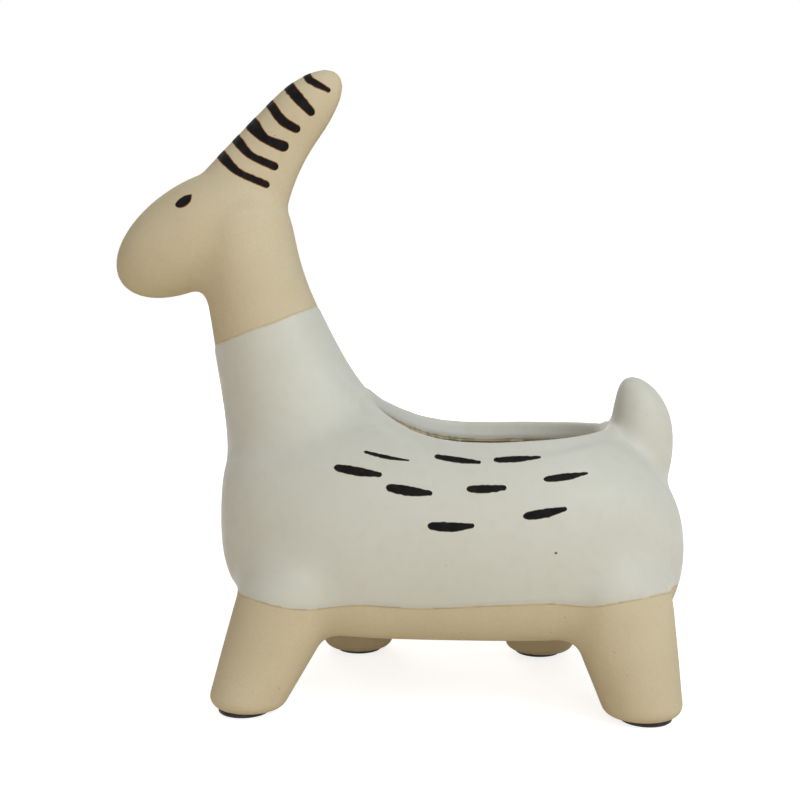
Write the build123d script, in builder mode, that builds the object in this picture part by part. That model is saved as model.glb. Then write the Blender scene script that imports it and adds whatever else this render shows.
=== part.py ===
from build123d import *
import os
from math import cos, hypot, pi, radians, sin

# Goat shaped stoneware planter: cast sections luted together, standing on four rubber bumpers.
# Millimetres and degrees. The goat faces -X, its left side is -Y and the table is Z = 0.

# Overall sizes
OVERALL_LENGTH = 218.0
OVERALL_HEIGHT = 236.0
WALL = 5.0

# Torso, a rounded trough whose chest, rump and flanks are fullest at their own heights
TORSO_LENGTH = 176.0
TORSO_WIDTH = 100.0
BELLY_HEIGHT = 23.8
RUMP_HEIGHT = 55.5
GIRTH_HEIGHT = 58.0
CHEST_HEIGHT = 73.0
BACK_HEIGHT = 110.5
PLAN_SQUARENESS = 3.0
BELLY_SQUARENESS = 3.8
CHEST_SQUARENESS = 2.9
RUMP_SQUARENESS = 2.3
BACK_SQUARENESS = 2.1

# Oval opening in the back, measured from the chest
OPENING_LENGTH = 90.6
OPENING_WIDTH = 64.0
OPENING_SETBACK = 56.3

# Neck, from a flared root inside the shoulder to the poll inside the head
NECK_SETBACK = 35.3
NECK_SINK = 24.9
NECK_BOW = 2.8
NECK_ROOT_CHORD = 71.1
NECK_ROOT_WIDTH = 67.0
NECK_CHORD = 36.7
NECK_WIDTH = 37.0
NECK_FLARE_EXPONENT = 2.5
NECK_CAP = 9.0
NECK_GLAZED_LENGTH = 55.8
GLAZE_TILT = 21.0

# Head, an egg that droops towards the muzzle
HEAD_LENGTH = 71.0
HEAD_DEPTH = 38.4
HEAD_WIDTH = 38.0
HEAD_DROOP = 32.0
HEAD_HEIGHT = 175.0
POLL_SETBACK = 14.6
POLL_RISE = 13.8

# Horns, swept back together as one casting
HORN_ROOT_SETBACK = 1.3
HORN_ROOT_SINK = 3.8
HORN_REACH = 38.9
HORN_TIP_DROP = 2.0
HORN_BOW = 3.0
HORN_ROOT_CHORD = 38.6
HORN_TIP_CHORD = 20.6
HORN_ROOT_WIDTH = 26.0
HORN_TIP_WIDTH = 15.0
HORN_FLARE_EXPONENT = 2.3
HORN_CAP = 22.5

# Tail, which curves up from a root inside the rump
TAIL_LENGTH = 39.5
TAIL_RISE = 8.6
TAIL_SETBACK = 20.7
TAIL_TIP_ADVANCE = 0.6
TAIL_BOW = 5.7
TAIL_ROOT_CHORD = 27.2
TAIL_ROOT_WIDTH = 26.0
TAIL_TIP_CHORD = 16.8
TAIL_TIP_WIDTH = 16.0
TAIL_FLARE_EXPONENT = 0.73
TAIL_CAP = 20.0

# Legs, which take a walking stride, with a rounded thigh inside the flank
HIP_SETBACK = 40.6
HIP_SPACING = 101.9
HIP_TRACK = 62.0
HIP_HEIGHT = 66.0
FOOT_SPACING = 110.5
FOOT_TRACK = 78.8
FOOT_ADVANCE = 5.5
STRIDE = 34.7
THIGH_CHORD = 46.0
THIGH_WIDTH = 36.0
THIGH_CAP = 26.0
FOOT_CHORD = 27.8
FOOT_WIDTH = 27.0
LEG_FLARE_EXPONENT = 1.2
FOOT_ROUND = 4.0

# Kiln vent through the shoulder into the hollow neck
VENT_DIAMETER = 8.0

# Rubber bumper pads under the feet
PAD_DIAMETER = 19.0
PAD_HEIGHT = 1.8
PAD_ROUND = 0.6

# Places that follow from the sizes
muzzle_x = -OVERALL_LENGTH / 2
rump_x = OVERALL_LENGTH / 2
chest_x = rump_x - TORSO_LENGTH
torso_x = rump_x - TORSO_LENGTH / 2
hips_x = chest_x + HIP_SETBACK + HIP_SPACING / 2
opening_x = chest_x + OPENING_SETBACK + OPENING_LENGTH / 2
droop = radians(HEAD_DROOP)
head_x = muzzle_x + hypot(HEAD_LENGTH / 2 * cos(droop), HEAD_DEPTH / 2 * sin(droop))
poll = Vector(head_x + POLL_SETBACK, 0, HEAD_HEIGHT + POLL_RISE)
head_centre = Vector(head_x, 0, HEAD_HEIGHT)
neck_root = Vector(chest_x + NECK_SETBACK, 0, BACK_HEIGHT - NECK_SINK)
horn_root = poll + Vector(HORN_ROOT_SETBACK, 0, -HORN_ROOT_SINK)
horn_tip = Vector(horn_root.X + HORN_REACH, 0, OVERALL_HEIGHT - HORN_TIP_DROP)
tail_root = Vector(rump_x - TAIL_SETBACK, 0, BACK_HEIGHT + TAIL_RISE - TAIL_LENGTH)
tail_tip = tail_root + Vector(-TAIL_TIP_ADVANCE, 0, TAIL_LENGTH)

# Stations of the lofts: angles round the torso and the caps, shares along a limb
TORSO_ANGLES = (-78, -55, -30, 0, 15, 30, 55, 75, 84)
CAP_ANGLES = (25, 48, 66, 78, 86)
EGG_ANGLES = (-86, -74, -58, -38, -19, 0, 19, 38, 58, 74, 86)
LIMB_SHARES = (0.0, 0.2, 0.4, 0.6, 0.8, 1.0)
OUTLINE_POINTS = 32


# A size that shrinks from the root of a limb to its end
def flared(root, end, flare, share):
    return end + (root - end) * (1 - share) ** flare


# The share of its greatest reach that a bulging side keeps at a level
def fullness(level, low, fullest, high, squareness):
    end = low if level < fullest else high
    rise = (level - fullest) / (end - fullest)
    return (1 - rise ** squareness) ** (1 / squareness)


# An arc between two points of the middle plane, bowed to the left of the way up
def bowed_spine(root, tip, bow):
    side = Vector(root.Z - tip.Z, 0, tip.X - root.X).normalized()
    return Edge.make_three_point_arc(root, (root + tip) / 2 + side * bow, tip)


# A rounded oval outline on a level plane, with its own reach to the front and to the rear
def oval_outline(level, front, rear, half_width):
    points = []
    for step in range(OUTLINE_POINTS):
        angle = 2 * pi * step / OUTLINE_POINTS
        sweep = abs(cos(angle)) ** PLAN_SQUARENESS + abs(sin(angle)) ** PLAN_SQUARENESS
        reach = sweep ** (-1 / PLAN_SQUARENESS)
        along = rear if cos(angle) > 0 else front
        points.append((torso_x + along * reach * cos(angle), half_width * reach * sin(angle)))
    with BuildSketch(Plane.XY.offset(level)) as outline:
        with BuildLine():
            Spline(*points, periodic=True)
        make_face()
    return outline.sketch


# The torso's solid form, or its cavity when it is inset by the wall
def torso_form(inset):
    low, high = BELLY_HEIGHT + inset, BACK_HEIGHT - inset

    def reach(level, size, fullest, upper_squareness):
        squareness = BELLY_SQUARENESS if level < fullest else upper_squareness
        return (size / 2 - inset) * fullness(level, low, fullest, high, squareness)

    sections = []
    for degree in TORSO_ANGLES:
        end, squareness = (low, BELLY_SQUARENESS) if degree < 0 else (high, BACK_SQUARENESS)
        rise = abs(sin(radians(degree))) ** (2 / squareness)
        level = GIRTH_HEIGHT + (end - GIRTH_HEIGHT) * rise
        front = reach(level, TORSO_LENGTH, CHEST_HEIGHT, CHEST_SQUARENESS)
        rear = reach(level, TORSO_LENGTH, RUMP_HEIGHT, RUMP_SQUARENESS)
        half_width = reach(level, TORSO_WIDTH, GIRTH_HEIGHT, BACK_SQUARENESS)
        sections.append(oval_outline(level, front, rear, half_width))
    with BuildPart() as form:
        loft(sections)
    return form.part


# A limb whose oval sections flare from the root and close in a rounded cap at the tip
def limb_form(spine, sizes, flare, cap, inset=0.0, normal=None):
    root_chord, end_chord, root_width, end_width = sizes
    cap_start = 1 - cap / spine.length
    stations = [(share * cap_start, 1.0) for share in LIMB_SHARES]
    for degree in CAP_ANGLES:
        angle = radians(degree)
        stations.append((cap_start + (1 - cap_start) * sin(angle), cos(angle)))
    with BuildPart() as form:
        for share, closing in stations:
            chord = (flared(root_chord, end_chord, flare, share) - 2 * inset) * closing
            width = (flared(root_width, end_width, flare, share) - 2 * inset) * closing
            with BuildSketch(Plane(origin=spine @ share, x_dir=(0, 1, 0), z_dir=normal or spine % share)):
                Ellipse(width / 2, chord / 2)
        loft()
    return form.part


# An egg with oval sections across its long axis
def egg_form(centre, sizes, lean, inset=0.0):
    half_length, half_depth, half_width = (size / 2 - inset for size in sizes)
    axis = Vector(cos(radians(lean)), 0, sin(radians(lean)))
    with BuildPart() as form:
        for degree in EGG_ANGLES:
            angle = radians(degree)
            middle = centre + axis * (half_length * sin(angle))
            with BuildSketch(Plane(origin=middle, x_dir=(0, 1, 0), z_dir=axis)):
                Ellipse(half_width * cos(angle), half_depth * cos(angle))
        loft()
    return form.part


# Solid forms that the nodes share
neck_sizes = (NECK_ROOT_CHORD, NECK_CHORD, NECK_ROOT_WIDTH, NECK_WIDTH)
head_sizes = (HEAD_LENGTH, HEAD_DEPTH, HEAD_WIDTH)
tail_sizes = (TAIL_ROOT_CHORD, TAIL_TIP_CHORD, TAIL_ROOT_WIDTH, TAIL_TIP_WIDTH)
leg_sizes = (FOOT_CHORD, THIGH_CHORD, FOOT_WIDTH, THIGH_WIDTH)
horn_sizes = (HORN_ROOT_CHORD, HORN_TIP_CHORD, HORN_ROOT_WIDTH, HORN_TIP_WIDTH)
neck_spine = bowed_spine(neck_root, poll, NECK_BOW)
hollow_spine = neck_spine.trim(0, 1 - WALL / neck_spine.length)
horn_spine = bowed_spine(horn_root, horn_tip, HORN_BOW)
tail_spine = bowed_spine(tail_root, tail_tip, -TAIL_BOW)
glaze_tilt = radians(GLAZE_TILT)
glaze_point = neck_spine @ (NECK_GLAZED_LENGTH / neck_spine.length)
glaze_plane = Plane(origin=glaze_point, z_dir=(-sin(glaze_tilt), 0, cos(glaze_tilt)))

torso_outer = torso_form(0.0)
torso_cavity = torso_form(WALL)
neck_outer = limb_form(neck_spine, neck_sizes, NECK_FLARE_EXPONENT, NECK_CAP)
neck_cavity = limb_form(hollow_spine, neck_sizes, NECK_FLARE_EXPONENT, NECK_CAP, inset=WALL)
head_outer = egg_form(head_centre, head_sizes, HEAD_DROOP)
head_cavity = egg_form(head_centre, head_sizes, HEAD_DROOP, inset=WALL)

with BuildPart() as opening_form:
    with BuildSketch(Plane.XY.offset(GIRTH_HEIGHT)):
        with Locations((opening_x, 0)):
            Ellipse(OPENING_LENGTH / 2, OPENING_WIDTH / 2)
    extrude(amount=OVERALL_HEIGHT - GIRTH_HEIGHT)

# Neck and head in one form, and the hollow that runs through them
with BuildPart() as bust:
    add(neck_outer)
    add(head_outer)

with BuildPart() as hollow:
    add(neck_cavity)
    add(head_cavity)

# Torso shell with the oval opening and the vent under the neck
with BuildPart() as torso:
    add(torso_outer)
    add(opening_form.part, mode=Mode.SUBTRACT)
    add(torso_cavity, mode=Mode.SUBTRACT)
    with BuildSketch(Plane(origin=neck_root, z_dir=neck_spine % 0)):
        Circle(VENT_DIAMETER / 2)
    extrude(amount=NECK_SINK + WALL, mode=Mode.SUBTRACT)

# Neck section, coped over the shoulder and trimmed to the glaze line and the opening
with BuildPart() as neck:
    add(bust.part)
    add(hollow.part, mode=Mode.SUBTRACT)
    split(bisect_by=glaze_plane, keep=Keep.BOTTOM)
    add(torso_outer, mode=Mode.SUBTRACT)
    add(opening_form.part, mode=Mode.SUBTRACT)

# Head section above the glaze line, with the top of the neck
with BuildPart() as head:
    add(bust.part)
    add(hollow.part, mode=Mode.SUBTRACT)
    split(bisect_by=glaze_plane, keep=Keep.TOP)

# Horns, coped over the poll
with BuildPart() as horns:
    add(limb_form(horn_spine, horn_sizes, HORN_FLARE_EXPONENT, HORN_CAP))
    add(bust.part, mode=Mode.SUBTRACT)

# Tail, coped over the rump and trimmed to the opening
with BuildPart() as tail:
    add(limb_form(tail_spine, tail_sizes, TAIL_FLARE_EXPONENT, TAIL_CAP))
    add(torso_outer, mode=Mode.SUBTRACT)
    add(opening_form.part, mode=Mode.SUBTRACT)

nodes = {"torso": torso.part, "neck": neck.part, "head": head.part, "horns": horns.part, "tail": tail.part}

# Legs coped under the torso, each with its pad; the left side strides long and the right side short
for end, along in (("front", -1), ("rear", 1)):
    for hand, across in (("left", -1), ("right", 1)):
        hip = Vector(hips_x + along * HIP_SPACING / 2, across * HIP_TRACK / 2, HIP_HEIGHT)
        reach = FOOT_SPACING / 2 - across * STRIDE / 2
        foot = Vector(hips_x - FOOT_ADVANCE + along * reach, across * FOOT_TRACK / 2, PAD_HEIGHT)
        leg_spine = Edge.make_line(foot, hip)

        with BuildPart() as leg:
            add(limb_form(leg_spine, leg_sizes, LEG_FLARE_EXPONENT, THIGH_CAP, normal=(0, 0, 1)))
            fillet(leg.faces().sort_by(Axis.Z)[0].edges(), FOOT_ROUND)
            add(torso_outer, mode=Mode.SUBTRACT)
        nodes[f"leg_{end}_{hand}"] = leg.part

        with BuildPart() as pad:
            with BuildSketch(Plane(origin=(foot.X, foot.Y, 0))):
                Circle(PAD_DIAMETER / 2)
            extrude(amount=PAD_HEIGHT)
            fillet(pad.edges().group_by(Axis.Z)[0], PAD_ROUND)
        nodes[f"pad_{end}_{hand}"] = pad.part

os.makedirs("parts", exist_ok=True)
for name, shape in nodes.items():
    shape.label = name
    export_step(shape, f"parts/{name}.step")
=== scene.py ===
from math import cos, pi, radians, sin

import bmesh
import bpy
import numpy as np
from mathutils import Euler, Matrix, Vector, noise
from mathutils.bvhtree import BVHTree


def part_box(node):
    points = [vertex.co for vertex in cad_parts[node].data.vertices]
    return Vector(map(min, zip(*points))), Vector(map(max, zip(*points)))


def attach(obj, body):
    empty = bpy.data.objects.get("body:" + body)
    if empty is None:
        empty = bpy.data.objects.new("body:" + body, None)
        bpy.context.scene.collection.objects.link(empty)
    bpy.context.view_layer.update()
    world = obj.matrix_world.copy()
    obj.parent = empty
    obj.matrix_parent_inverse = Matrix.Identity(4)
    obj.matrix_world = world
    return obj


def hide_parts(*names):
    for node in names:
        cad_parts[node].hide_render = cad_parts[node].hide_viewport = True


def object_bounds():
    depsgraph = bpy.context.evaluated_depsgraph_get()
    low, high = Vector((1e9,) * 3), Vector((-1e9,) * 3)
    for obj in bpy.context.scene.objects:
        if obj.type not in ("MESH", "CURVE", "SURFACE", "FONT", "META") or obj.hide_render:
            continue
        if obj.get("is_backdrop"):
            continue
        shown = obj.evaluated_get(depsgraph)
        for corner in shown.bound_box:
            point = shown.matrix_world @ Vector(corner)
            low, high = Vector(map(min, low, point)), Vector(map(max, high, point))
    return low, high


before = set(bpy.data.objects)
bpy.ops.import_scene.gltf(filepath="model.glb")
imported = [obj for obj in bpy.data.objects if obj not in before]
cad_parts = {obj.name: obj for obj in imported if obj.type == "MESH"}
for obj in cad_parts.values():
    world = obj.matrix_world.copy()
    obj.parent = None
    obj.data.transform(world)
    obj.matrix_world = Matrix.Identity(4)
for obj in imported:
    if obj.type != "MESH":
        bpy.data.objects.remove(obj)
cad_low, cad_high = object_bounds()

# Goat shaped planter: one fired stoneware body under a satin white glaze, with brushed charcoal marks
# and four rubber pads. Metres; the goat faces -X and its left side is -Y.
MM = 0.001
CORNERS = ("front_left", "front_right", "rear_left", "rear_right")
LEGS = tuple("leg_" + corner for corner in CORNERS)
GLAZED = ("torso", "neck", "tail")
BARE = ("head", "horns") + LEGS

# Camera, and the square picture whose points place the brush marks
PICTURE = 800
LENS = 55.8
SENSOR = 36.0
FOCAL = PICTURE * LENS / SENSOR
CAMERA_PLACE = Vector((30.93, -475.6, 158.5)) * MM
CAMERA_YAW = 3.6
CAMERA_PITCH = 5.757
CAMERA_NEAR = 0.01

# Clay skin: weld and overlap of the cast sections, grid of the skin, and how far slip fills each joint
WELD_GAP = 0.001 * MM
SECTION_OVERLAP = 0.15 * MM
SKIN_GRID = 1.0 * MM
SKIN_ROUNDS = 14
SETTLE_ROUNDS = 3
RELAX_SHARES = (0.5, -0.52)
SEAT_GAP = 0.08 * MM
SEAT_SAMPLES = 400
JOINT_FILLS = (
    ("neck", "torso", 16 * MM, 90),
    ("tail", "torso", 12 * MM, 60),
    ("horns", "head", 12 * MM, 40),
) + tuple((leg, "torso", 26 * MM, 220) for leg in LEGS)
FILL_SHARE = 0.7
FILL_SLIDE = 0.3
ALL_OVER_ROUNDS = 8
ALL_OVER_SHARE = 0.4
# Hollows that are filled further, as middle and radius in mm and rounds: throat, tail root, rear left haunch
EASED_HOLLOWS = (
    ((-68, 0, 160), 40, 260),
    ((84, 0, 105), 24, 120),
    ((100, -38, 47), 24, 300),
)

# Shallow vent recess under the neck, where the skin closes the kiln vent
VENT_PLACE = Vector((-38.6, 0, 102.0)) * MM
VENT_TILT = -22.6
VENT_PLUG_RADIUS = 5.6 * MM
VENT_PLUG_DEPTH = 5.0 * MM
VENT_PLUG_SEGMENTS = 32

# Trough sizes that tell the inside of the bowl from the outside
TORSO_MIDDLE = 21 * MM
TORSO_LENGTH = 176 * MM
TORSO_WIDTH = 100 * MM
BELLY_HEIGHT = 23.8 * MM
RUMP_HEIGHT = 55.5 * MM
GIRTH_HEIGHT = 58 * MM
CHEST_HEIGHT = 73 * MM
BACK_HEIGHT = 110.5 * MM
PLAN_SQUARENESS = 3.0
BELLY_SQUARENESS = 3.8
CHEST_SQUARENESS = 2.9
RUMP_SQUARENESS = 2.3
BACK_SQUARENESS = 2.1
WALL = 5 * MM
ROOF_HALVINGS = 30

# Oval opening in the back, over whose lip the glaze rolls
OPENING_MIDDLE = 34.6 * MM
OPENING_HALF_LENGTH = 45.3 * MM
OPENING_HALF_WIDTH = 32 * MM
LIP_STEPS = 180
LIP_DEPTH = 7.8 * MM
LIP_GLAZED_DEPTH = 6.9 * MM
LIP_SEAT = 5.0 * MM
LIP_SEAT_RISE = LIP_SEAT / 4
LIP_BEAD = 1.5 * MM
LIP_LEAN = 0.3
LIP_TOP_ROUND = 2.0 * MM
LIP_STEEPEST = 1.3
LIP_EASE = 4
# How far the lip's shape holds round the opening, off its surface, and less so where the back rises
LIP_ZONE = 9 * MM
LIP_HOLD = 2.5 * MM
LIP_FADE = 5.5 * MM
LIP_CLOSE = 1.7 * MM
LIP_RISE_SHARE = 0.68
LIP_FACING = 0.5
# Rounds that draw the skin onto the lip, and the steps to the surface in each
LIP_ROUNDS = 3
LIP_STEPS_IN = 5
LIP_RATE_STEP = 0.01 * MM
LIP_LEAST_RATE = 0.2
# Lip's end at the tail's root, in mm, where the hollow is filled and smoothed once more
LIP_END = (81, 0, 104)
LIP_END_REACH = 15
LIP_END_FILLS = 90
LIP_END_ROUNDS = 12
# Height of the rim along the body, in mm, from the neck to the tail
RIM_LINE = (
    (-11, 113.6), (-9, 111.9), (-5, 108.6), (0, 105.2), (8, 101.5), (17, 99.3), (26, 98.4), (38, 98.3),
    (50, 98.8), (61, 99.2), (72, 100.0), (80, 100.9),
)
RIM_LINE_EASE = 2

# Glaze: thickness, the dipped line under the belly and the slanting line on the neck
GLAZE_THICKNESS = 0.35 * MM
GLAZE_EASE = 2.0 * MM
GLAZE_ROOT = 0.1 * MM
GLAZE_EDGE_SHARE = 0.1
GLAZE_LIP_FALL = 4
# Most corners that a quad has after a cut
MOST_CORNERS = 6
# Height of the belly line along the body, in mm, dipping over each leg of the left side
BELLY_LINE = (
    (-67, 42.6), (-56, 43.4), (-50, 43.5), (-44, 42.3), (-36, 41.3), (-27, 40.2), (-20, 41.0), (-7, 41.7),
    (8, 41.3), (25, 42.0), (57, 43.8), (63, 43.3), (68, 42.4), (74, 43.2), (79, 44.6), (90, 46.3), (98, 46.8),
    (104, 44.6), (109, 43.6),
)
BELLY_LINE_EASE = 4
NECK_LINE_POINT = Vector((-50.7, 0, 138.9)) * MM
NECK_LINE_TILT = 21.0
# Drift of the glaze lines: its height, how far beside a line it acts, and its share, size and seed
LINE_WAVE = 0.5 * MM
LINE_WAVE_REACH = 6 * LINE_WAVE
LINE_WAVES = ((1.0, 24 * MM, 3.0), (0.3, 7 * MM, 9.0))
BOX_MARGIN = 0.05 * MM

# Brush marks as picture points; widths are in pixels
PAINT_LIFT = 0.13 * MM
PAINT_ROOT = 0.2 * MM
PAINT_EDGE_DROP = 0.7
PATH_FINENESS = 24
STROKE_STEPS = 56
STROKE_LANES = 11
STROKE_LEAST = 0.04
RAG = 0.22 * MM
RAG_SIZE = 1.6 * MM
RAG_FULL = 0.8 * MM
RAG_SEED_STEP = 7.0
RAG_SIDE_STEP = 3.0
MIRROR = np.array((1, -1, 1))
# Horn stripes: start near the front ridge, middle and end, with the width at each
HORN_STRIPES = (
    ((308.8, 78.8), (317.5, 84.4), (330.4, 91.4), (8.5, 8.0, 4.6)),
    ((291.0, 89.3), (300.5, 100.5), (313.8, 115.0), (11.7, 11.2, 8.0)),
    ((272.5, 107.2), (283.0, 121.0), (300.0, 130.8), (9.7, 10.0, 8.6)),
    ((254.0, 126.5), (266.0, 139.0), (288.5, 148.2), (14.6, 9.2, 11.8)),
    ((239.5, 143.0), (252.0, 156.0), (278.2, 168.0), (10.6, 7.8, 8.8)),
    ((224.5, 158.5), (240.0, 173.0), (269.5, 186.0), (11.0, 7.8, 7.8)),
)
# Flank dashes: blunt end, tapered end, widths there, sag and the slide of the far side's dash in mm
FLANK_DASHES = (
    ((364, 451.5), (409.5, 460.5), 4.6, 1.8, 1.2, 2.5),
    ((334, 467), (382, 475), 9.8, 4.8, 0.5, -2.5),
    ((434.5, 456), (481, 462.5), 7.6, 3.8, 0.5, 1.0),
    ((493.5, 460), (541, 457), 7.8, 3.2, 0.5, 2.0),
    ((543.5, 479.5), (588, 473), 7.8, 2.4, 0.6, 2.0),
    ((386, 487), (432.5, 493.5), 10.4, 4.6, 0.8, -3.0),
    ((466.5, 489), (506.5, 487.5), 8.6, 5.2, 0.8, 3.5),
    ((523, 516.5), (567, 508.5), 9.4, 4.0, 0.8, -2.0),
    ((427.5, 525.5), (474.5, 525.5), 9.8, 4.2, 1.6, 3.0),
)
DASH_WIDTH_PLACES = (0, 0.3, 0.55, 1)
DASH_LANDING = 0.72
DASH_SPOTS = 6
DASH_SEED = 20
FAR_DASH_RISE = 0.3
EYE_START, EYE_MIDDLE, EYE_END = (175.3, 205.3), (183.8, 201.4), (191.9, 194.2)
EYE_WIDTH = 12.8
EYE_FULLEST = 0.5
EYE_SEED = 50
SPECK_START, SPECK_END = (554.5, 553), (557.5, 553)
SPECK_WIDTH = 2.6
SPECK_STEPS = 14
SPECK_SEED = 60

# Rubber pad outline as shares of its radius and height, from the dished underside round to the top
PAD_OUTLINE = (
    (0.35, 0.16), (0.62, 0.10), (0.72, 0.0), (0.9, 0.0), (0.96, 0.06), (0.99, 0.2), (1.0, 0.4),
    (1.0, 0.7), (0.99, 0.88), (0.96, 0.97), (0.92, 1.0),
)
PAD_SEGMENTS = 72

# Colours of clay, glaze, paint and rubber, as display values from 0 to 255
CLAY_PALE = (210, 197, 168)
CLAY_DEEP = (205, 191, 162)
CLAY_GROG = (191, 173, 141)
CLAY_IRON = (120, 92, 58)
CLAY_TOAST = (190, 160, 114)
GLAZE_PALE = (207, 206, 197)
GLAZE_DEEP = (204, 203, 193)
GLAZE_MOTTLE = (192, 187, 168)
GLAZE_IRON = (150, 130, 100)
GLAZE_THIN = (200, 176, 132)
SOOT = (15, 14, 14)
SOOT_WORN = (30, 27, 25)
HORN_BLEED = (152, 98, 60)
FLANK_BLEED = (92, 82, 70)
RUST = (116, 66, 44)
RUST_WORN = (130, 80, 54)
RUST_BLEED = (160, 120, 88)
RUBBER = (30, 29, 28)
RUBBER_DUST = (66, 62, 57)
# Width of the bleed at the paint's edge, in mm
HORN_FRINGE = 0.42
FLANK_FRINGE = 0.3
SPECK_FRINGE = 0.3

# Studio: floor, white surroundings, and lights as name, place, size, power and tint
WHITE = (1, 1, 1, 1)
FLOOR_SIZE = 6.0
FLOOR_DROP = 0.2 * MM
FLOOR_SEEN = (0.6, 0.6, 0.6, 1)
FLOOR_BOUNCE = (0.86, 0.75, 0.6, 1)
FLOOR_GLOW_NEAR = 0.8
FLOOR_GLOW_REACH = (0.2, 0.9)
DOME_LIGHT = 0.28
DOME_COLOUR = (1.03, 1.0, 0.94, 1)
LIGHT_AIM = (0, 0, 0.1)
LIGHTS = (
    ("key", (0.95, -0.75, 1.15), 0.9, 10.8, (0.91, 1.01, 1.08)),
    ("front", (0.15, -1.35, 0.45), 1.2, 5.6, (1.03, 1.02, 0.95)),
    ("back", (-0.5, 1.25, 0.8), 1.2, 6.0, (1.03, 1.0, 0.97)),
)


def smoothstep(value):
    value = np.clip(value, 0, 1)
    return value * value * (3 - 2 * value)


# Points and quads of a mesh as plain arrays
def mesh_arrays(mesh):
    points = np.empty(len(mesh.vertices) * 3)
    mesh.vertices.foreach_get("co", points)
    corners = np.empty(len(mesh.loops), dtype=np.int64)
    mesh.loops.foreach_get("vertex_index", corners)
    return points.reshape(-1, 3), corners.reshape(-1, 4)


def edge_pairs(quads):
    pairs = np.concatenate([quads[:, [k, (k + 1) % 4]] for k in range(4)])
    return np.unique(np.sort(pairs, axis=1), axis=0)


def vertex_normals(points, quads):
    across = np.cross(points[quads[:, 2]] - points[quads[:, 0]], points[quads[:, 3]] - points[quads[:, 1]])
    total = np.zeros_like(points)
    for corner in range(4):
        for axis in range(3):
            total[:, axis] += np.bincount(quads[:, corner], across[:, axis], len(points))
    return total / np.maximum(np.linalg.norm(total, axis=1), 1e-12)[:, None]


def neighbour_means(points, pairs):
    degree = np.bincount(pairs.ravel(), minlength=len(points))
    total = np.empty_like(points)
    for axis in range(3):
        column = points[:, axis]
        total[:, axis] = np.bincount(pairs[:, 0], column[pairs[:, 1]], len(points))
        total[:, axis] += np.bincount(pairs[:, 1], column[pairs[:, 0]], len(points))
    return total / np.maximum(degree, 1)[:, None]


# Evens the skin, each round in and back out again so that it keeps its size
def relax(points, pairs, rounds):
    for _ in range(rounds):
        for share in RELAX_SHARES:
            points = points + share * (neighbour_means(points, pairs) - points)
    return points


# Fills hollow creases outwards, as slip does in a luted joint, and leaves round forms alone
def fill_creases(points, quads, weight, rounds):
    near = quads[(weight > 0)[quads].any(axis=1)]
    used, flat = np.unique(near.ravel(), return_inverse=True)
    near = flat.reshape(near.shape)
    pairs = edge_pairs(near)
    share = weight[used][:, None]
    local = points[used]
    for _ in range(rounds):
        normals = vertex_normals(local, near)
        pull = neighbour_means(local, pairs) - local
        rise = (pull * normals).sum(axis=1)[:, None]
        along = pull - normals * rise
        local = local + (normals * np.maximum(rise, 0) + FILL_SLIDE * along) * share
    filled = points.copy()
    filled[used] = local
    return filled


# Keeps the largest connected piece of a set of faces
def largest_island(count, faces):
    labels = np.arange(count)
    while True:
        lowest = labels[faces].min(axis=1)
        fresh = labels.copy()
        np.minimum.at(fresh, faces.ravel(), np.repeat(lowest, faces.shape[1]))
        fresh = fresh[fresh]
        if (fresh == labels).all():
            break
        labels = fresh
    face_labels = labels[faces[:, 0]]
    return faces[face_labels == np.bincount(face_labels).argmax()]


def compact(points, faces):
    used, flat = np.unique(faces.ravel(), return_inverse=True)
    return points[used], flat.reshape(faces.shape)


def make_piece(name, points, faces, material, values=None):
    mesh = bpy.data.meshes.new(name)
    mesh.from_pydata(np.asarray(points).tolist(), [], [list(face) for face in faces])
    mesh.polygons.foreach_set("use_smooth", [True] * len(mesh.polygons))
    for key, column in (values or {}).items():
        layer = mesh.attributes.new(key, "FLOAT", "POINT")
        layer.data.foreach_set("value", np.asarray(column, dtype=np.float32))
    mesh.materials.append(material)
    mesh.update()
    piece = bpy.data.objects.new(name, mesh)
    bpy.context.scene.collection.objects.link(piece)
    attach(piece, "root")
    return piece


# Closes a sheet of faces into a thin shell between an outer and an inner set of points
def closed_shell(outer, inner, faces):
    count = len(outer)
    edges = {}
    for face in faces:
        for first, second in zip(face, face[1:] + face[:1]):
            key = (min(first, second), max(first, second))
            edges[key] = None if key in edges else (first, second)
    walls = [[b, a, a + count, b + count] for a, b in filter(None, edges.values())]
    under = [[corner + count for corner in reversed(face)] for face in faces]
    return np.concatenate([outer, inner]), faces + under + walls


# Share of its greatest reach that a bulging side of the trough keeps at each level
def fullness(level, low, fullest, high, squareness):
    under = level < fullest
    rise = np.where(under, (fullest - level) / (fullest - low), (level - fullest) / (high - fullest))
    power = np.where(under, BELLY_SQUARENESS, squareness)
    return np.maximum(1 - np.clip(rise, 0, 1) ** power, 1e-6) ** (1 / power)


# How far points lie inside the trough, inset from its outside, negative beyond that
def trough_depth(points, inset):
    low, high = BELLY_HEIGHT + inset, BACK_HEIGHT - inset
    level = points[:, 2]
    along = points[:, 0] - TORSO_MIDDLE
    front = fullness(level, low, CHEST_HEIGHT, high, CHEST_SQUARENESS)
    rear = fullness(level, low, RUMP_HEIGHT, high, RUMP_SQUARENESS)
    reach = (TORSO_LENGTH / 2 - inset) * np.where(along < 0, front, rear)
    width = (TORSO_WIDTH / 2 - inset) * fullness(level, low, GIRTH_HEIGHT, high, BACK_SQUARENESS)
    sweep = (np.abs(along) / reach) ** PLAN_SQUARENESS + (np.abs(points[:, 1]) / width) ** PLAN_SQUARENESS
    return (1 - sweep ** (1 / PLAN_SQUARENESS)) * np.minimum(reach, width)


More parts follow.
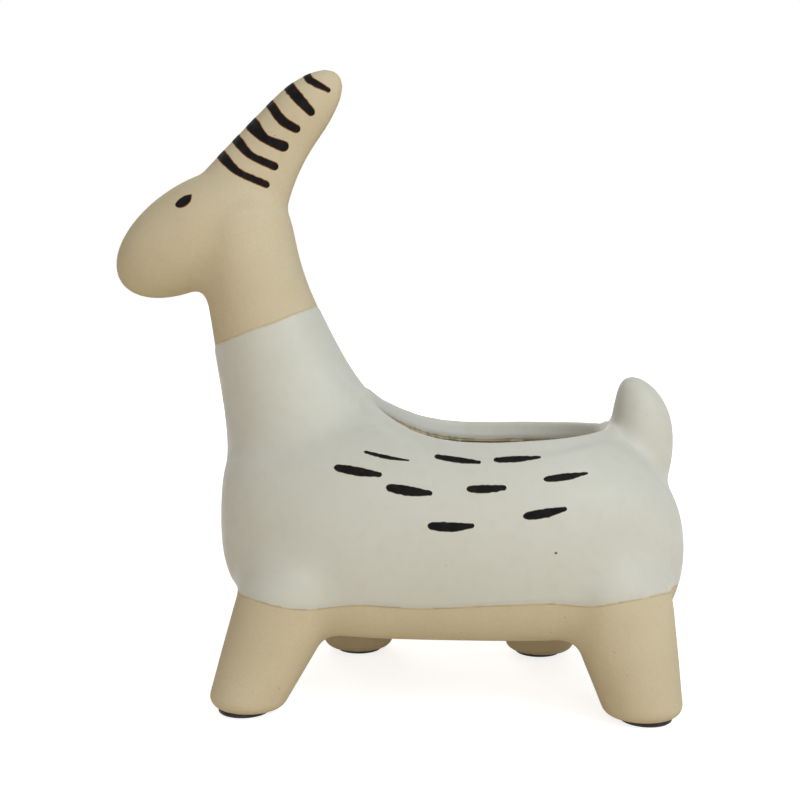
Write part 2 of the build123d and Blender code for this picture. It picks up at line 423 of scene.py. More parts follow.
# Angle round the opening, distance beyond its edge in plan, and the way out from it
def opening_place(points):
    plan = (points[:, :2] - (OPENING_MIDDLE, 0)) / (OPENING_HALF_LENGTH, OPENING_HALF_WIDTH)
    swell = np.maximum(np.linalg.norm(plan, axis=1), 1e-6)
    slant = plan / swell[:, None] / (OPENING_HALF_LENGTH, OPENING_HALF_WIDTH)
    steepness = np.linalg.norm(slant, axis=1)
    return np.arctan2(plan[:, 1], plan[:, 0]), (swell - 1) / steepness, slant / steepness[:, None]


# Height of the bowl's roof over plan points, found by halving
def roof_height(plan):
    low = np.full(len(plan), GIRTH_HEIGHT)
    high = np.full(len(plan), BACK_HEIGHT)
    for _ in range(ROOF_HALVINGS):
        middle = (low + high) / 2
        inside = trough_depth(np.column_stack([plan, middle]), WALL) > 0
        low = np.where(inside, middle, low)
        high = np.where(inside, high, middle)
    return low


def ease_round(values, reach):
    return sum(np.roll(values, shift) for shift in range(-reach, reach + 1)) / (2 * reach + 1)


# A line through points in mm, eased along its length, as places and heights
def eased_line(line, reach):
    along = np.arange(line[0][0], line[-1][0] + 1)
    heights = np.pad(np.interp(along, *zip(*line)), reach, mode="edge")
    return along * MM, np.convolve(heights, np.ones(2 * reach + 1) / (2 * reach + 1), mode="valid") * MM


# Angles, plan places, ways out and rim heights, at even steps round the opening
def opening_edge():
    angles = np.linspace(-pi, pi, LIP_STEPS, endpoint=False)
    edge = np.column_stack([np.cos(angles) * OPENING_HALF_LENGTH, np.sin(angles) * OPENING_HALF_WIDTH])
    away = edge / (OPENING_HALF_LENGTH ** 2, OPENING_HALF_WIDTH ** 2)
    away /= np.linalg.norm(away, axis=1)[:, None]
    edge += (OPENING_MIDDLE, 0)
    return angles, edge, away, np.interp(edge[:, 0], *eased_line(RIM_LINE, RIM_LINE_EASE))


# Bead that thickens the rim downwards: a ring whose four edges are a distance out and a height each
def add_lip_bead(sections):
    _, edge, away, rim = opening_edge()
    bottom = rim - LIP_DEPTH
    seat = np.maximum(roof_height(edge + away * LIP_SEAT), bottom) + LIP_SEAT_RISE
    corners = (
        (-LIP_LEAN * LIP_DEPTH, bottom),
        (LIP_BEAD, bottom),
        (LIP_SEAT, seat),
        (0, rim - LIP_TOP_ROUND),
    )
    rings = []
    for out, height in corners:
        places = np.column_stack([edge + away * out, height])
        rings.append([sections.verts.new(place) for place in places])
    for ring, after in zip(rings, rings[1:] + rings[:1]):
        for step in range(LIP_STEPS):
            following = (step + 1) % LIP_STEPS
            sections.faces.new((ring[step], ring[following], after[following], after[step]))


# Heights of the rim and of the back carried on to it, and the back's slope, round the opening
def lip_profile(tree):
    angles, edge, away, rim = opening_edge()

    def back_height(plan):
        down = Vector((0, 0, -1))
        hits = [tree.ray_cast(Vector((x, y, 2 * BACK_HEIGHT)), down)[0].z for x, y in plan]
        return ease_round(np.array(hits), LIP_EASE)

    rise = back_height(edge + away * 2 * LIP_HOLD) - back_height(edge + away * LIP_HOLD)
    slope = ease_round(np.clip(rise / LIP_HOLD, -LIP_STEEPEST, LIP_STEEPEST), LIP_EASE)
    fall = np.minimum(slope, 0)
    across, along = -fall * np.hypot(1, LIP_LEAN), np.hypot(1, fall)
    top = rim + LIP_TOP_ROUND * (across + along - np.hypot(across, along)) / (1 - fall * LIP_LEAN)
    return {"angle": angles, "rim": rim, "top": top, "slope": slope}


# The outer of two faces, with the corner between them rounded
def round_corner(first, second, radius):
    over, beside = np.maximum(first + radius, 0), np.maximum(second + radius, 0)
    return np.minimum(np.maximum(first, second) + radius, 0) + np.hypot(over, beside) - radius


# A value of the lip's profile at angles round the opening
def around(angle, profile, key):
    return np.interp(angle, profile["angle"], profile[key], period=2 * pi)


# Draws the skin onto an even, rounded lip round the opening
def shape_lip(points, quads, profile):
    angle, beyond, away = opening_place(points)
    level = points[:, 2]
    rim = around(angle, profile, "rim")
    near = np.where((np.abs(beyond) < LIP_ZONE) & (level > rim - LIP_DEPTH) & (level < rim + LIP_ZONE))[0]
    rim, top, slope = (around(angle[near], profile, key) for key in ("rim", "top", "slope"))

    def lip_surface(out, height):
        above = (height - top - slope * out) / np.hypot(1, slope)
        inward = (LIP_LEAN * (height - top) - out) / np.hypot(1, LIP_LEAN)
        return round_corner(inward, above, LIP_TOP_ROUND)

    def lip_rates(out, height):
        value = lip_surface(out, height)
        outward = (lip_surface(out + LIP_RATE_STEP, height) - value) / LIP_RATE_STEP
        upward = (lip_surface(out, height + LIP_RATE_STEP) - value) / LIP_RATE_STEP
        return value, outward, upward

    out, height = beyond[near].copy(), level[near].copy()
    value, out_rate, up_rate = lip_rates(out, height)
    normals = vertex_normals(points, quads)[near]
    facing = (normals[:, :2] * away[near]).sum(axis=1) * out_rate + normals[:, 2] * up_rate
    reach = 1 - LIP_RISE_SHARE * smoothstep(slope / LIP_STEEPEST)
    weight = 1 - smoothstep((out - LIP_HOLD * reach) / (LIP_FADE * reach))
    weight *= 1 - smoothstep(np.abs(value) / LIP_CLOSE - 1)
    weight *= smoothstep((height - rim + LIP_GLAZED_DEPTH) / LIP_HOLD) * smoothstep(facing / LIP_FACING)
    for _ in range(LIP_STEPS_IN):
        share = value / np.maximum(out_rate ** 2 + up_rate ** 2, LIP_LEAST_RATE)
        out, height = out - share * out_rate, height - share * up_rate
        value, out_rate, up_rate = lip_rates(out, height)
    shaped = points.copy()
    shaped[near, :2] += away[near] * (weight * (out - beyond[near]))[:, None]
    shaped[near, 2] += weight * (height - level[near])
    return shaped


# Smooth noise at points
def wave(points, size, seed):
    offset = Vector((seed, 2.7 * seed, -seed))
    return np.array([noise.noise(Vector(point) / size + offset) for point in points])


# Distance inside the glazed area, negative on bare clay
def glaze_field(points, profile):
    above_belly = points[:, 2] - np.interp(points[:, 0], *eased_line(BELLY_LINE, BELLY_LINE_EASE))
    tilt = radians(NECK_LINE_TILT)
    below_neck = (np.array(NECK_LINE_POINT) - points) @ np.array((-sin(tilt), 0, cos(tilt)))
    dipped = np.minimum(above_belly, below_neck)
    beside = np.where(np.abs(dipped) < LINE_WAVE_REACH)[0]
    drift = sum(share * wave(points[beside], size, seed) for share, size, seed in LINE_WAVES)
    dipped[beside] += LINE_WAVE * drift

    angle, beyond, _ = opening_place(points)
    rim = around(angle, profile, "rim")
    on_lip = points[:, 2] - rim + LIP_GLAZED_DEPTH - GLAZE_LIP_FALL * np.maximum(beyond - LIP_HOLD, 0)
    outside = -trough_depth(points, WALL / 2)
    return np.minimum(dipped, np.maximum(on_lip, outside))


# Cuts quads along the zero line of a field and keeps the positive side
def cut_faces(points, quads, field):
    inside = field > 0
    whole = inside[quads].all(axis=1)
    split = inside[quads].any(axis=1) & ~whole
    faces = quads[whole].tolist()
    fresh_points, fresh_ends, known = [], [], {}

    def crossing(a, b):
        key = (min(a, b), max(a, b))
        if key not in known:
            share = field[key[0]] / (field[key[0]] - field[key[1]])
            known[key] = len(points) + len(fresh_points)
            fresh_points.append(points[key[0]] * (1 - share) + points[key[1]] * share)
            fresh_ends.append((key[0], key[1], share))
        return known[key]

    for quad in quads[split].tolist():
        face = []
        for a, b in zip(quad, quad[1:] + quad[:1]):
            if inside[a]:
                face.append(a)
            if inside[a] != inside[b]:
                face.append(crossing(a, b))
        faces.append(face)
    return np.concatenate([points, np.array(fresh_points)]), faces, fresh_ends


# A colour's display values as the linear ones that a shader takes
def linear_colour(shown):
    def linear(value):
        value /= 255
        return value / 12.92 if value <= 0.04045 else ((value + 0.055) / 1.055) ** 2.4
    return tuple(linear(value) for value in shown) + (1.0,)


# Sockets of a mix node that take and give colours
MIX_COLOURS = slice(6, 8)
MIX_RESULT = 2


class Shader:
    """A material with a Principled shader and short ways to add and join nodes."""

    def __init__(self, name):
        self.material = bpy.data.materials.new(name)
        self.material.use_nodes = True
        self.tree = self.material.node_tree
        self.body = self.tree.nodes["Principled BSDF"]
        self.place = self.tree.nodes.new("ShaderNodeTexCoord").outputs["Object"]

    def join(self, source, socket):
        self.tree.links.new(source, socket)

    def node(self, kind, links=None, **values):
        made = self.tree.nodes.new(kind)
        for key, value in values.items():
            made.inputs[key.replace("_", " ")].default_value = value
        for key, source in (links or {}).items():
            self.join(source, made.inputs[key])
        return made

    def noise(self, scale, detail=3.0, roughness=0.5):
        values = {"Scale": scale, "Detail": detail, "Roughness": roughness}
        return self.node("ShaderNodeTexNoise", {"Vector": self.place}, **values).outputs["Fac"]

    def spots(self, scale):
        made = self.node("ShaderNodeTexVoronoi", {"Vector": self.place}, Scale=scale)
        return made.outputs["Distance"]

    def attribute(self, name):
        made = self.node("ShaderNodeAttribute")
        made.attribute_name = name
        return made.outputs["Fac"]

    def span(self, source, low, high, to_low=0.0, to_high=1.0):
        made = self.node("ShaderNodeMapRange", {"Value": source})
        made.interpolation_type = "SMOOTHSTEP"
        for key, value in (("From Min", low), ("From Max", high), ("To Min", to_low), ("To Max", to_high)):
            made.inputs[key].default_value = value
        return made.outputs["Result"]

    def times(self, first, second):
        made = self.tree.nodes.new("ShaderNodeMath")
        made.operation = "MULTIPLY"
        for socket, value in zip(made.inputs, (first, second)):
            if isinstance(value, (int, float)):
                socket.default_value = value
            else:
                self.join(value, socket)
        return made.outputs["Value"]

    def mix(self, share, first, second):
        made = self.tree.nodes.new("ShaderNodeMix")
        made.data_type = "RGBA"
        self.join(share, made.inputs["Factor"])
        for socket, value in zip(made.inputs[MIX_COLOURS], (first, second)):
            if isinstance(value, tuple):
                socket.default_value = linear_colour(value)
            else:
                self.join(value, socket)
        return made.outputs[MIX_RESULT]

    def bump(self, height, distance, strength=1.0, under=None):
        made = self.node("ShaderNodeBump", {"Height": height}, Strength=strength, Distance=distance)
        if under is not None:
            self.join(under, made.inputs["Normal"])
        return made.outputs["Normal"]

    def finish(self, base, roughness, normal):
        self.join(base, self.body.inputs["Base Color"])
        self.join(roughness, self.body.inputs["Roughness"])
        self.join(normal, self.body.inputs["Normal"])
        return self.material


# Matte buff stoneware: soft blotches, fine grog, a few iron specks and a faint toasted line beside the glaze
def stoneware_material():
    clay = Shader("buff_stoneware")
    blotches = clay.span(clay.noise(28.0, 4.0, 0.55), 0.35, 0.68)
    base = clay.mix(blotches, CLAY_PALE, CLAY_DEEP)
    grain = clay.span(clay.noise(900.0, 2.0), 0.3, 0.75)
    base = clay.mix(clay.times(grain, 0.18), base, CLAY_GROG)
    specks = clay.span(clay.spots(330.0), 0.05, 0.11, 1.0, 0.0)
    rare = clay.span(clay.noise(120.0, 1.0), 0.6, 0.68)
    few = clay.times(specks, rare)
    base = clay.mix(clay.times(few, 0.6), base, CLAY_IRON)
    beside = clay.attribute("glaze_distance")
    near = clay.times(clay.span(beside, -0.6, -0.1), clay.span(beside, 0.4, 0.9, 1.0, 0.0))
    toast = clay.times(near, clay.span(clay.noise(160.0, 2.0), 0.3, 0.6, 0.2, 0.5))
    base = clay.mix(toast, base, CLAY_TOAST)
    rough = clay.span(clay.noise(260.0, 3.0), 0.3, 0.7, 0.78, 0.9)
    normal = clay.bump(clay.noise(1300.0, 2.0), 0.00012, 0.5)
    normal = clay.bump(clay.noise(220.0, 3.0), 0.0003, 0.3, normal)
    clay.body.inputs["Specular IOR Level"].default_value = 0.25
    return clay.finish(base, rough, normal)


# Satin white glaze: very faint mottling, thinner and warmer at its edge, with tiny specks and pinholes
def glaze_material():
    coat = Shader("satin_white_glaze")
    blotches = coat.span(coat.noise(22.0, 5.0, 0.6), 0.35, 0.7)
    base = coat.mix(blotches, GLAZE_PALE, GLAZE_DEEP)
    mottle = coat.span(coat.noise(240.0, 3.0), 0.45, 0.75)
    base = coat.mix(coat.times(mottle, 0.15), base, GLAZE_MOTTLE)
    specks = coat.span(coat.spots(210.0), 0.035, 0.075, 1.0, 0.0)
    rare = coat.span(coat.noise(90.0, 1.0), 0.6, 0.66)
    few = coat.times(specks, rare)
    base = coat.mix(coat.times(few, 0.4), base, GLAZE_IRON)
    thin = coat.span(coat.attribute("edge_distance"), 0.1, 0.8, 0.5, 0.0)
    base = coat.mix(thin, base, GLAZE_THIN)
    rough = coat.span(coat.noise(150.0, 3.0), 0.3, 0.7, 0.44, 0.58)
    normal = coat.bump(coat.noise(420.0, 2.0), 0.00008, 0.5)
    normal = coat.bump(coat.noise(60.0, 3.0), 0.0006, 0.2, normal)
    coat.body.inputs["Specular IOR Level"].default_value = 0.4
    return coat.finish(base, rough, normal)


# Brush paint with dry streaks, and a fringe of the given width in mm where it bleeds into the ground
def paint_material(name, thick, dry, bleed, fringe):
    paint = Shader(name)
    patches = paint.span(paint.noise(420.0, 4.0), 0.45, 0.8)
    base = paint.mix(patches, thick, dry)
    edge = paint.span(paint.attribute("inside_edge"), 0.4 * fringe, fringe, 0.9, 0.0)
    base = paint.mix(edge, base, bleed)
    rough = paint.span(paint.noise(300.0, 2.0), 0.3, 0.7, 0.6, 0.78)
    normal = paint.bump(paint.noise(1100.0, 2.0), 0.00008, 0.5)
    paint.body.inputs["Specular IOR Level"].default_value = 0.1
    return paint.finish(base, rough, normal)


# Moulded black rubber with a fine grain and a little dust
def rubber_material():
    rubber = Shader("black_rubber")
    dust = rubber.span(rubber.noise(180.0, 4.0), 0.5, 0.8)
    base = rubber.mix(rubber.times(dust, 0.35), RUBBER, RUBBER_DUST)
    rough = rubber.span(rubber.noise(500.0, 2.0), 0.3, 0.7, 0.6, 0.8)
    normal = rubber.bump(rubber.noise(1600.0, 2.0), 0.00006, 0.5)
    return rubber.finish(base, rough, normal)


# Camera at the picture's viewing angle
turn = Euler((radians(90 - CAMERA_PITCH), 0, radians(CAMERA_YAW)))
lens = bpy.data.cameras.new("camera")
lens.lens = LENS
lens.sensor_width = SENSOR
lens.clip_start = CAMERA_NEAR
camera = bpy.data.objects.new("camera", lens)
camera.location = CAMERA_PLACE
camera.rotation_euler = turn
bpy.context.scene.collection.objects.link(camera)
bpy.context.scene.camera = camera

# Cast sections, the vent's plug and the lip's bead, joined into one skin
sections = bmesh.new()
section_trees = {}
for node in GLAZED + BARE:
    section = bmesh.new()
    section.from_mesh(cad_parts[node].data)
    bmesh.ops.remove_doubles(section, verts=section.verts, dist=WELD_GAP)
    bmesh.ops.recalc_face_normals(section, faces=section.faces)
    section_trees[node] = BVHTree.FromBMesh(section)
    for vertex in section.verts:
        vertex.co += vertex.normal * SECTION_OVERLAP
    swollen = bpy.data.meshes.new("swollen")
    section.to_mesh(swollen)
    section.free()
    sections.from_mesh(swollen)
    bpy.data.meshes.remove(swollen)
bmesh.ops.create_cone(
    sections, cap_ends=True, segments=VENT_PLUG_SEGMENTS, depth=VENT_PLUG_DEPTH,
    radius1=VENT_PLUG_RADIUS, radius2=VENT_PLUG_RADIUS,
    matrix=Matrix.Translation(VENT_PLACE) @ Matrix.Rotation(radians(VENT_TILT), 4, "Y"),
)
add_lip_bead(sections)
joined = bpy.data.meshes.new("joined")
sections.to_mesh(joined)
sections.free()
former = bpy.data.objects.new("former", joined)
bpy.context.scene.collection.objects.link(former)
remesh = former.modifiers.new("skin", "REMESH")
remesh.mode = "VOXEL"
remesh.voxel_size = SKIN_GRID
skin_mesh = bpy.data.meshes.new_from_object(former.evaluated_get(bpy.context.evaluated_depsgraph_get()))
skin, quads = mesh_arrays(skin_mesh)
bpy.data.objects.remove(former)
bpy.data.meshes.remove(joined)
bpy.data.meshes.remove(skin_mesh)
skin, quads = compact(skin, largest_island(len(skin), quads))
pairs = edge_pairs(quads)


# Points where one cast section is seated against another
def seat_points(first, second):
    places = [vertex.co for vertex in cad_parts[first].data.vertices]
    seat = [place for place in places if section_trees[second].find_nearest(place, SEAT_GAP)[0] is not None]
    return np.array(seat[::max(1, len(seat) // SEAT_SAMPLES)])


# Nearness of skin points to the joint between two sections
def joint_weight(points, first, second, radius):
    seat = seat_points(first, second)
    boxed = (points > seat.min(axis=0) - radius) & (points < seat.max(axis=0) + radius)
    near = np.where(boxed.all(axis=1))[0]
    squares = (points[near] ** 2).sum(axis=1)[:, None] + (seat ** 2).sum(axis=1) - 2 * points[near] @ seat.T
    gaps = np.full(len(points), radius)
    gaps[near] = np.sqrt(np.maximum(squares.min(axis=1), 0))
    return smoothstep(1 - gaps / radius)


# Nearness of skin points to a place, within a radius, both in mm
def place_weight(points, middle, radius):
    return smoothstep(1 - np.linalg.norm(points / MM - middle, axis=1) / radius)


# Slip in the joints and hollows, then the lip of the opening
skin = relax(skin, pairs, SKIN_ROUNDS)
outer_side = trough_depth(skin, WALL / 2) < 0
for first, second, radius, rounds in JOINT_FILLS:
    weight = FILL_SHARE * joint_weight(skin, first, second, radius) * outer_side
    skin = fill_creases(skin, quads, weight, rounds)
for middle, radius, rounds in EASED_HOLLOWS:
    weight = FILL_SHARE * place_weight(skin, middle, radius) * outer_side
    skin = fill_creases(skin, quads, weight, rounds)
skin = fill_creases(skin, quads, np.full(len(skin), ALL_OVER_SHARE), ALL_OVER_ROUNDS)
skin = relax(skin, pairs, SETTLE_ROUNDS)
lip = lip_profile(BVHTree.FromPolygons(skin.tolist(), quads.tolist()))
for _ in range(LIP_ROUNDS):
    skin = relax(shape_lip(skin, quads, lip), pairs, 1)
weight = place_weight(skin, LIP_END, LIP_END_REACH)
skin = fill_creases(skin, quads, FILL_SHARE * weight, LIP_END_FILLS)
skin += weight[:, None] * (relax(skin, pairs, LIP_END_ROUNDS) - skin)

# The skin and its coat fit in the box of the solids
for axis in range(3):
    margin = GLAZE_THICKNESS + BOX_MARGIN
    ahead, behind = skin[:, axis] > 0, skin[:, axis] < 0
    skin[ahead, axis] *= min(1, (cad_high[axis] - margin) / skin[:, axis].max())
    if behind.any():
        skin[behind, axis] *= min(1, (cad_low[axis] + margin) / skin[:, axis].min())
skin_normals = vertex_normals(skin, quads)

# Glaze coat, cut along the dipped lines and the lip of the bowl
field = glaze_field(skin, lip)
cut_points, cut_list, ends = cut_faces(skin, quads, field)
end_normals = [skin_normals[a] * (1 - share) + skin_normals[b] * share for a, b, share in ends]
cut_normals = np.concatenate([skin_normals, np.array(end_normals)])
cut_field = np.concatenate([field, np.zeros(len(ends))])
padded = np.array([face + [face[-1]] * (MOST_CORNERS - len(face)) for face in cut_list])
kept = largest_island(len(cut_points), padded)
used, flat = np.unique(kept.ravel(), return_inverse=True)
coat_list = []
for row in flat.reshape(kept.shape).tolist():
    coat_list.append([corner for k, corner in enumerate(row) if k == 0 or corner != row[k - 1]])
thickening = (1 - GLAZE_EDGE_SHARE) * smoothstep(cut_field[used] / GLAZE_EASE)
cover = GLAZE_THICKNESS * (GLAZE_EDGE_SHARE + thickening)
coat_outer = cut_points[used] + cut_normals[used] * cover[:, None]
coat_inner = cut_points[used] - cut_normals[used] * GLAZE_ROOT
coat_points, coat_faces = closed_shell(coat_outer, coat_inner, coat_list)

stoneware = make_piece(
    "stoneware_body", skin, quads.tolist(), stoneware_material(),
    {"glaze_distance": field / MM},
)
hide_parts(*BARE)
coat = make_piece(
    "glaze_coat", coat_points, coat_faces, glaze_material(),
    {"edge_distance": np.tile(cut_field[used] / MM, 2)},
)
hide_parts(*GLAZED)
clay_tree = BVHTree.FromPolygons(skin.tolist(), quads.tolist())
coat_tree = BVHTree.FromPolygons(coat_outer.tolist(), coat_list)


# The surface point under a point of the picture
def picture_point(tree, u, v):
    aim = Vector(((u - PICTURE / 2) / FOCAL, (PICTURE / 2 - v) / FOCAL, -1))
    return np.array(tree.ray_cast(CAMERA_PLACE, turn.to_matrix() @ aim)[0])


# Size of a pixel at a place
def pixel_size(place):
    return (Vector(place) - CAMERA_PLACE).length / FOCAL


# A smooth path through points, in steps that crowd towards its ends
def smooth_path(points, steps):
    points = np.asarray(points)
    ends = np.concatenate([[2 * points[0] - points[1]], points, [2 * points[-1] - points[-2]]])
    fine = []
    for a, b, c, d in zip(ends, ends[1:], ends[2:], ends[3:]):
        for t in np.linspace(0, 1, PATH_FINENESS, endpoint=False):
            fine.append(b + 0.5 * t * (c - a + t * (2 * a - 5 * b + 4 * c - d + t * (3 * (b - c) + d - a))))
    fine = np.array(fine + [points[-1]])
    walked = np.concatenate([[0], np.cumsum(np.linalg.norm(np.diff(fine, axis=0), axis=1))])
    marks = walked[-1] * (0.5 - 0.5 * np.cos(np.linspace(0, pi, steps)))
    return np.stack([np.interp(marks, walked, fine[:, axis]) for axis in range(3)], axis=1), marks


# Share of a stroke's width at a distance from its rounded end
def round_end(distance, radius):
    closing = 1 - np.clip(distance / radius, 0, 1)
    return np.maximum(np.sqrt(1 - closing ** 2), STROKE_LEAST)


# A brushed ribbon that lies on a surface: points, faces and how far each point is inside the ribbon's edge
def brush_stroke(tree, path, half_widths, seed):
    outer, inner, inside_edge = [], [], []
    walked = 0.0
    for step, centre in enumerate(path):
        ahead = path[min(step + 1, len(path) - 1)] - path[max(step - 1, 0)]
        walked += np.linalg.norm(centre - path[max(step - 1, 0)])
        spot, normal = tree.find_nearest(Vector(centre))[:2]
        across = normal.cross(Vector(ahead)).normalized()
        for lane in np.linspace(-1, 1, STROKE_LANES):
            edge = abs(lane)
            rag_place = (walked / RAG_SIZE, RAG_SEED_STEP * seed, RAG_SIDE_STEP * np.sign(lane))
            rag = noise.noise(Vector(rag_place))
            reach = lane * (half_widths[step] + RAG * edge * rag * min(1, half_widths[step] / RAG_FULL))
            place, face_normal = tree.find_nearest(spot + across * reach)[:2]
            outer.append(place + face_normal * (PAINT_LIFT * (1 - PAINT_EDGE_DROP * edge ** 4)))
            inner.append(place - face_normal * PAINT_ROOT)
            inside_edge.append((1 - edge) * half_widths[step] / MM)
    faces = []
    for step in range(len(path) - 1):
        for lane in range(STROKE_LANES - 1):
            first = step * STROKE_LANES + lane
            faces.append([first, first + STROKE_LANES, first + STROKE_LANES + 1, first + 1])
    points, faces = closed_shell(np.array(outer), np.array(inner), faces)
    return points, faces, np.tile(inside_edge, 2)


# Many strokes as one piece
def stroke_piece(name, strokes, material):
    points, faces, inside_edge, count = [], [], [], 0
    for stroke_points, stroke_faces, stroke_edge in strokes:
        points.append(stroke_points)
        inside_edge.append(stroke_edge)
        faces += [[corner + count for corner in face] for face in stroke_faces]
        count += len(stroke_points)
    values = {"inside_edge": np.concatenate(inside_edge)}
    make_piece(name, np.concatenate(points), faces, material, values)


# Charcoal paints and the rusty speck's
horn_paint = paint_material("horn_charcoal", SOOT, SOOT_WORN, HORN_BLEED, HORN_FRINGE)
flank_paint = paint_material("flank_charcoal", SOOT, SOOT_WORN, FLANK_BLEED, FLANK_FRINGE)
rust = paint_material("rusty_speck", RUST, RUST_WORN, RUST_BLEED, SPECK_FRINGE)

# Horn stripes, each over the front ridge and down both sides
stripes = []
for seed, (start, middle, end, widths) in enumerate(HORN_STRIPES):
    side = [picture_point(clay_tree, *spot) for spot in (end, middle, start)]
    path, marks = smooth_path(side + [place * MIRROR for place in reversed(side)], 2 * STROKE_STEPS)
    to_end = np.minimum(marks, marks[-1] - marks)
    places = np.cumsum([0, np.linalg.norm(side[1] - side[0]), np.linalg.norm(side[2] - side[1])])
    half_widths = pixel_size(side[1]) / 2 * np.interp(to_end, places, widths[::-1])
    half_widths *= round_end(to_end, pixel_size(side[1]) / 2 * widths[2])
    stripes.append(brush_stroke(clay_tree, path, half_widths, seed))
stroke_piece("horn_stripes", stripes, horn_paint)

# Flank dashes, blunt where the brush lands and tapered where it lifts, with a looser set on the far side
dashes = []
for seed, (blunt, taper, blunt_width, taper_width, sag, slide) in enumerate(FLANK_DASHES):
    spots = []
    for share in np.linspace(0, 1, DASH_SPOTS):
        u, v = np.array(blunt) * (1 - share) + np.array(taper) * share
        spots.append(picture_point(coat_tree, u, v + sag * sin(pi * share)))
    spots = np.array(spots)
    pixel = pixel_size(spots[2])
    far_spots = spots * MIRROR + np.array((slide, 0, FAR_DASH_RISE * slide)) * MM
    for number, places in enumerate((spots, far_spots)):
        path, marks = smooth_path(places, STROKE_STEPS)
        widths = (DASH_LANDING * blunt_width, blunt_width, blunt_width, taper_width)
        half_widths = pixel / 2 * np.interp(marks / marks[-1], DASH_WIDTH_PLACES, widths)
        half_widths *= round_end(marks, 0.5 * pixel * blunt_width)
        half_widths *= round_end(marks[-1] - marks, 0.5 * pixel * taper_width)
        dashes.append(brush_stroke(coat_tree, path, half_widths, DASH_SEED + 2 * seed + number))
stroke_piece("flank_dashes", dashes, flank_paint)

# Eyes, round at the front and drawn out to a point at the rear
eyes = []
eye_spots = np.array([picture_point(clay_tree, *spot) for spot in (EYE_START, EYE_MIDDLE, EYE_END)])
for number, places in enumerate((eye_spots, eye_spots * MIRROR)):
    path, marks = smooth_path(places, STROKE_STEPS)
    shares = marks / marks[-1]
    half_widths = EYE_WIDTH / 2 * pixel_size(eye_spots[1]) * round_end(shares, EYE_FULLEST)
    beyond = np.maximum(shares - EYE_FULLEST, 0) / (1 - EYE_FULLEST)
    half_widths *= np.maximum(1 - beyond ** 2, STROKE_LEAST)
    eyes.append(brush_stroke(clay_tree, path, half_widths, EYE_SEED + number))
stroke_piece("eyes", eyes, horn_paint)

# One rusty speck in the glaze
speck_spots = [picture_point(coat_tree, *spot) for spot in (SPECK_START, SPECK_END)]
path, marks = smooth_path(speck_spots, SPECK_STEPS)
to_end = np.minimum(marks, marks[-1] - marks)
half_widths = SPECK_WIDTH / 2 * pixel_size(speck_spots[0]) * round_end(to_end, marks[-1] / 2)
speck = brush_stroke(coat_tree, path, half_widths, SPECK_SEED)
stroke_piece("glaze_speck", [speck], rust)

# Rubber pads, turned with a dished underside and rounded edges
rubber = rubber_material()
for corner in CORNERS:
    low, high = (np.array(place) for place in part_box("pad_" + corner))
    middle = (low + high) / 2
    radius, height = (high[0] - low[0]) / 2, high[2] - low[2]
    rings = []
    for reach, rise in PAD_OUTLINE:
        for step in range(PAD_SEGMENTS):
            angle = 2 * pi * step / PAD_SEGMENTS
            place = (middle[0] + radius * reach * cos(angle), middle[1] + radius * reach * sin(angle))
            rings.append(place + (low[2] + rise * height,))
    count = len(rings)
    rings += [(middle[0], middle[1], low[2] + PAD_OUTLINE[0][1] * height), (middle[0], middle[1], high[2])]
    faces = []
    for step in range(PAD_SEGMENTS):
        after = (step + 1) % PAD_SEGMENTS
        faces.append((count, after, step))
        faces.append((count + 1, count - PAD_SEGMENTS + step, count - PAD_SEGMENTS + after))
        for ring in range(len(PAD_OUTLINE) - 1):
            base = ring * PAD_SEGMENTS
            faces.append((base + step, base + after, base + after + PAD_SEGMENTS, base + step + PAD_SEGMENTS))
    pad = make_piece("rubber_pad_" + corner, rings, faces, rubber)
    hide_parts("pad_" + corner)


# Mixes what the camera and mirrors see with what lights the object
def add_seen_mix(tree, lighting, seen, output):
    path = tree.nodes.new("ShaderNodeLightPath")
    rays = path.outputs["Is Camera Ray"]
    for name in ("Is Glossy Ray", "Is Transmission Ray"):
        either = tree.nodes.new("ShaderNodeMath")
        either.operation = "MAXIMUM"
        tree.links.new(rays, either.inputs[0])
        tree.links.new(path.outputs[name], either.inputs[1])
        rays = either.outputs[0]
    choice = tree.nodes.new("ShaderNodeMixShader")
    tree.links.new(rays, choice.inputs[0])
    tree.links.new(lighting, choice.inputs[1])
    tree.links.new(seen, choice.inputs[2])
    tree.links.new(choice.outputs[0], output.inputs["Surface"])


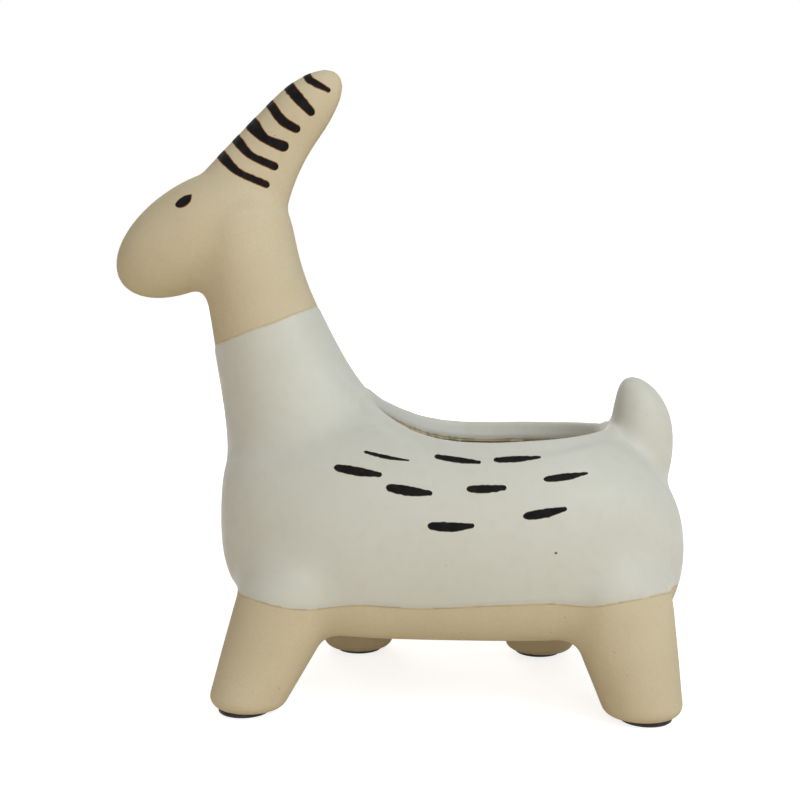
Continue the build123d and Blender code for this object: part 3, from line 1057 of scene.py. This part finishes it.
# Pale floor that looks white and keeps the object's shadow
floor_mesh = bpy.data.meshes.new("floor")
floor_corners = [(x * FLOOR_SIZE, y * FLOOR_SIZE, 0) for x, y in ((-1, -1), (1, -1), (1, 1), (-1, 1))]
floor_mesh.from_pydata(floor_corners, [], [(0, 1, 2, 3)])
floor = bpy.data.objects.new("floor", floor_mesh)
floor.location.z = -FLOOR_DROP
bpy.context.scene.collection.objects.link(floor)
floor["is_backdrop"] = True
floor_paint = bpy.data.materials.new("pale_floor")
floor_paint.use_nodes = True
floor_mesh.materials.append(floor_paint)
tree = floor_paint.node_tree
tree.nodes.clear()
matte, bounce = (tree.nodes.new("ShaderNodeBsdfDiffuse") for _ in range(2))
matte.inputs["Color"].default_value = FLOOR_SEEN
bounce.inputs["Color"].default_value = FLOOR_BOUNCE
place = tree.nodes.new("ShaderNodeTexCoord")
reach = tree.nodes.new("ShaderNodeVectorMath")
reach.operation = "LENGTH"
tree.links.new(place.outputs["Object"], reach.inputs[0])
strength = tree.nodes.new("ShaderNodeMapRange")
strength.interpolation_type = "SMOOTHSTEP"
glow_span = FLOOR_GLOW_REACH + (FLOOR_GLOW_NEAR, 1.0)
for key, value in zip(("From Min", "From Max", "To Min", "To Max"), glow_span):
    strength.inputs[key].default_value = value
tree.links.new(reach.outputs["Value"], strength.inputs["Value"])
glow = tree.nodes.new("ShaderNodeEmission")
glow.inputs["Color"].default_value = WHITE
tree.links.new(strength.outputs["Result"], glow.inputs["Strength"])
bright = tree.nodes.new("ShaderNodeAddShader")
tree.links.new(matte.outputs[0], bright.inputs[0])
tree.links.new(glow.outputs[0], bright.inputs[1])
add_seen_mix(tree, bounce.outputs[0], bright.outputs[0], tree.nodes.new("ShaderNodeOutputMaterial"))

# White surroundings that light the object softly
world = bpy.data.worlds.new("studio")
bpy.context.scene.world = world
world.use_nodes = True
tree = world.node_tree
tree.nodes.clear()
backgrounds = []
for tint, strength in ((DOME_COLOUR, DOME_LIGHT), (WHITE, 1.0)):
    background = tree.nodes.new("ShaderNodeBackground")
    background.inputs["Color"].default_value = tint
    background.inputs["Strength"].default_value = strength
    backgrounds.append(background.outputs[0])
add_seen_mix(tree, *backgrounds, tree.nodes.new("ShaderNodeOutputWorld"))


def area_light(name, place, size, power, tint):
    lamp = bpy.data.lights.new(name, "AREA")
    lamp.shape = "DISK"
    lamp.size = size
    lamp.energy = power
    lamp.color = tint
    light = bpy.data.objects.new(name, lamp)
    light.location = place
    light.rotation_euler = (Vector(LIGHT_AIM) - Vector(place)).to_track_quat("-Z", "Y").to_euler()
    bpy.context.scene.collection.objects.link(light)


for settings in LIGHTS:
    area_light(*settings)

bpy.context.scene.view_settings.view_transform = "Standard"

# Boxes of the solids and of the finished model
low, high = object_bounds()
